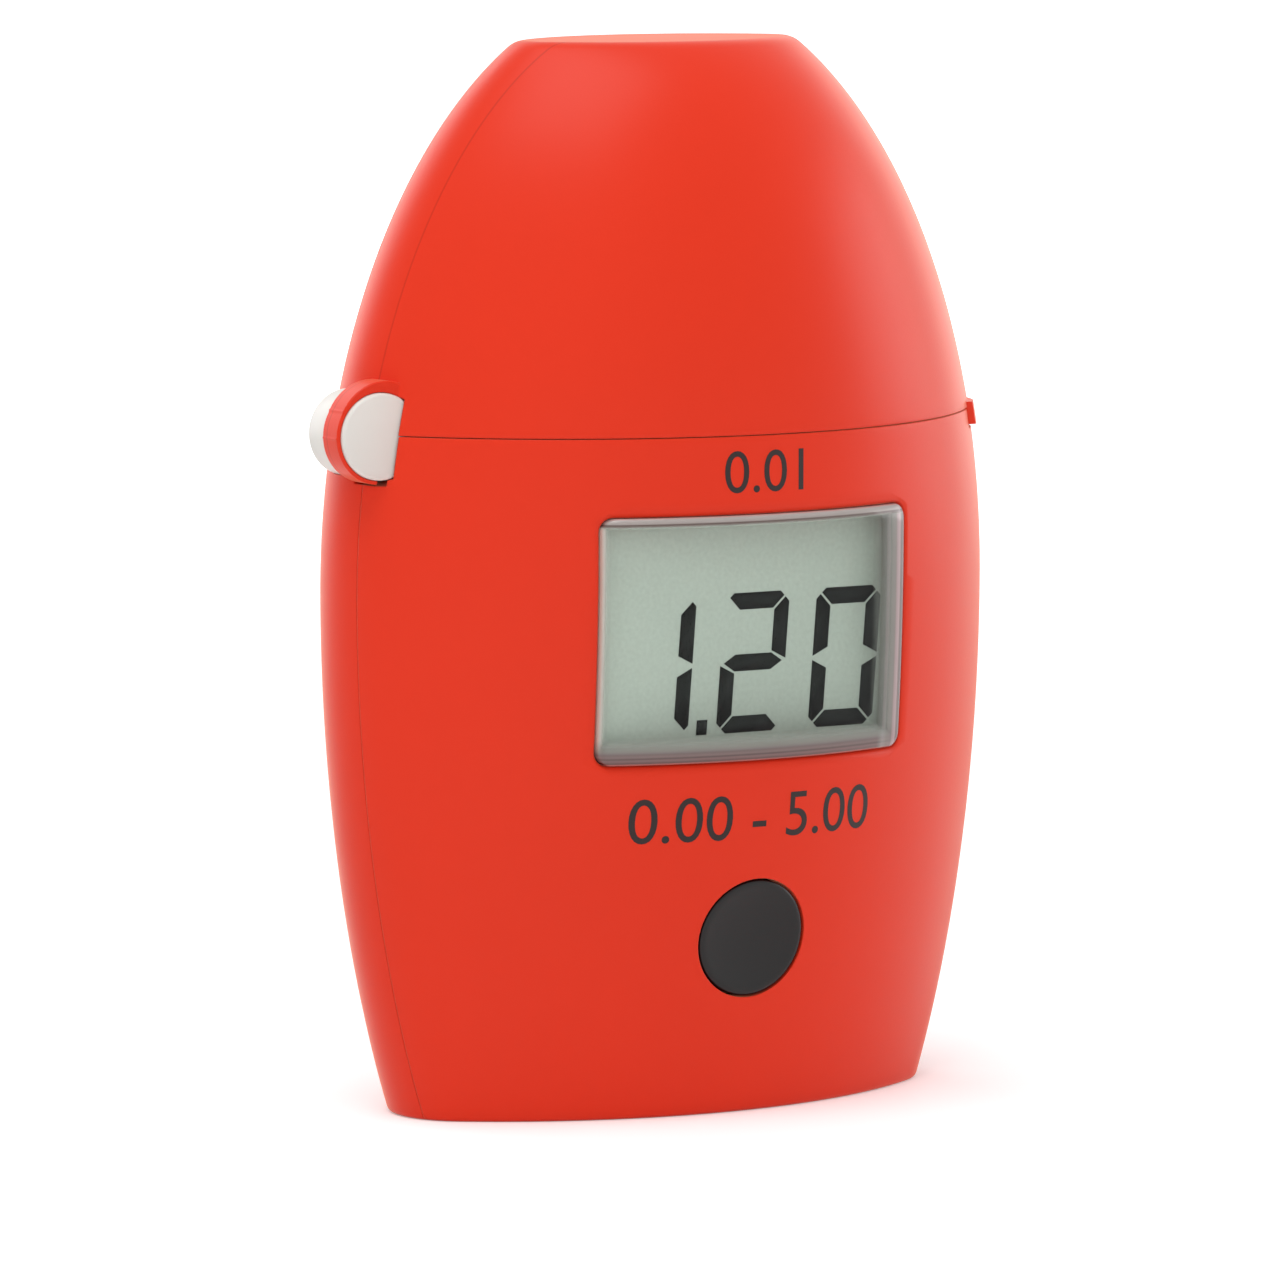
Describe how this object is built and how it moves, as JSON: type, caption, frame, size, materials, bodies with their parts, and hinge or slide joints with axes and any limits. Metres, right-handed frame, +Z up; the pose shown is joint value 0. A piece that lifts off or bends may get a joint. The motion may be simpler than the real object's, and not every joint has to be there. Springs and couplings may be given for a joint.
{
  "type": "portable colorimeter",
  "caption": "Oval hand-held meter with a side-hinged lid over a round sample well, a segment display and one push button.",
  "frame": {"origin": "middle of the flat base, on the outer face of the battery cover", "axes": "+X to the right seen from the front, +Y to the rear, +Z up; the display faces -Y"},
  "size_m": [0.0614, 0.0377, 0.086],
  "materials": {
    "case": "satin",
    "hinge": "satin",
    "window": "gloss",
    "lcd": "gloss",
    "black_plastic": "matte",
    "elastomer": "matte",
    "board": "satin",
    "contact_metal": "satin",
    "steel": "satin",
    "button": "satin",
    "well": "matte",
    "led": "gloss",
    "cell": "satin",
    "foam": "matte"
  },
  "bodies": {
    "body": {"front_shell": "case", "rear_shell": "case", "hinge_block": "hinge", "display_window": "window", "lcd_glass": "lcd", "lcd_frame": "black_plastic", "elastomer_strips": "elastomer", "main_board": "board", "microcontroller": "black_plastic", "tact_switch": "contact_metal", "board_screws": "steel", "cuvette_holder": "well", "top_deck": "well", "battery_bay_roof": "black_plastic", "well_windows": "window", "led": "led", "photocell": "black_plastic", "led_board": "board", "detector_board": "board", "battery": "cell", "battery_contact": "contact_metal", "battery_spring": "contact_metal", "battery_cover": "case", "battery_cover_screw": "steel", "case_screws": "steel"},
    "lid": {"lid": "case", "lid_pad": "foam"},
    "button": {"button": "button"}
  },
  "joints": [
    {"name": "lid_hinge", "type": "hinge", "parent": "body", "child": "lid", "pos_m": [-0.0279, -0.00363, 0.0553], "axis": [0, -1, 0], "range_deg": [0, 110]},
    {"name": "button_press", "type": "slide", "parent": "body", "child": "button", "axis": [0, 1, 0], "range_m": [0, 0.0005], "stiffness_N_per_m": 400}
  ]
}
